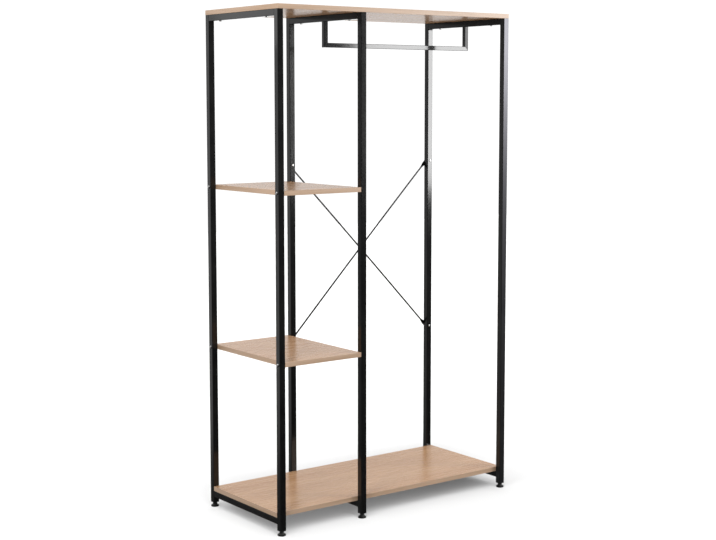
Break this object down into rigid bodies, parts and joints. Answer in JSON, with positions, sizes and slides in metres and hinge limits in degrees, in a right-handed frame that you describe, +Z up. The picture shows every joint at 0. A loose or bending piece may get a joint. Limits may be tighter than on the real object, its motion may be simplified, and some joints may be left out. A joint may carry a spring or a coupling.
{
  "type": "open frame wardrobe",
  "caption": "Open wardrobe of black square steel tube with oak-faced boards, a narrow bay of shelves, a wide bay with a hanging rail and crossed braces, on levelling feet.",
  "frame": {"origin": "on the floor, in the middle of the whole wardrobe's footprint", "axes": "+Z up, +X to the right seen from the front, the front faces -Y"},
  "size_m": [1.006, 0.4562, 1.74],
  "materials": {
    "frame_steel": "satin black powder coat",
    "rail_steel": "semi-gloss black powder coat",
    "brace_steel": "satin black powder coat",
    "board_face": "satin light oak laminate on chipboard",
    "board_edge": "printed oak edge strip",
    "bright_bolt": "bright zinc",
    "foot_plastic": "moulded black"
  },
  "bodies": {
    "frame": {"bottom_board": "board_face", "bottom_board_edging": "board_edge", "bottom_board_screws": "bright_bolt", "brace_bolts": "bright_bolt", "brace_falling": "brace_steel", "brace_nuts": "bright_bolt", "brace_rising": "brace_steel", "left_bottom_crossbar": "frame_steel", "left_front_post": "frame_steel", "left_rear_post": "frame_steel", "left_top_crossbar": "frame_steel", "lower_shelf": "board_face", "lower_shelf_edging": "board_edge", "middle_bottom_crossbar": "frame_steel", "middle_front_post": "frame_steel", "middle_rear_post": "frame_steel", "middle_top_crossbar": "frame_steel", "post_plugs": "foot_plastic", "rail_bar": "rail_steel", "rail_bolts": "bright_bolt", "rail_left_drop": "rail_steel", "rail_plugs": "bright_bolt", "rail_right_drop": "rail_steel", "right_bottom_crossbar": "frame_steel", "right_front_post": "frame_steel", "right_rear_post": "frame_steel", "right_top_crossbar": "frame_steel", "shelf_bolts": "bright_bolt", "shelf_inserts": "bright_bolt", "top_board": "board_face", "top_board_edging": "board_edge", "top_board_screws": "bright_bolt", "upper_shelf": "board_face", "upper_shelf_edging": "board_edge"},
    "left_front_leveller": {"left_front_foot": "foot_plastic", "left_front_foot_stud": "bright_bolt"},
    "left_rear_leveller": {"left_rear_foot": "foot_plastic", "left_rear_foot_stud": "bright_bolt"},
    "middle_front_leveller": {"middle_front_foot": "foot_plastic", "middle_front_foot_stud": "bright_bolt"},
    "middle_rear_leveller": {"middle_rear_foot": "foot_plastic", "middle_rear_foot_stud": "bright_bolt"},
    "right_front_leveller": {"right_front_foot": "foot_plastic", "right_front_foot_stud": "bright_bolt"},
    "right_rear_leveller": {"right_rear_foot": "foot_plastic", "right_rear_foot_stud": "bright_bolt"}
  },
  "joints": [
    {"name": "left_front_leveller_travel", "type": "slide", "parent": "frame", "child": "left_front_leveller", "axis": [0, 0, -1], "range_m": [0, 0.015]},
    {"name": "left_rear_leveller_travel", "type": "slide", "parent": "frame", "child": "left_rear_leveller", "axis": [0, 0, -1], "range_m": [0, 0.015]},
    {"name": "middle_front_leveller_travel", "type": "slide", "parent": "frame", "child": "middle_front_leveller", "axis": [0, 0, -1], "range_m": [0, 0.015]},
    {"name": "middle_rear_leveller_travel", "type": "slide", "parent": "frame", "child": "middle_rear_leveller", "axis": [0, 0, -1], "range_m": [0, 0.015]},
    {"name": "right_front_leveller_travel", "type": "slide", "parent": "frame", "child": "right_front_leveller", "axis": [0, 0, -1], "range_m": [0, 0.015]},
    {"name": "right_rear_leveller_travel", "type": "slide", "parent": "frame", "child": "right_rear_leveller", "axis": [0, 0, -1], "range_m": [0, 0.015]}
  ]
}
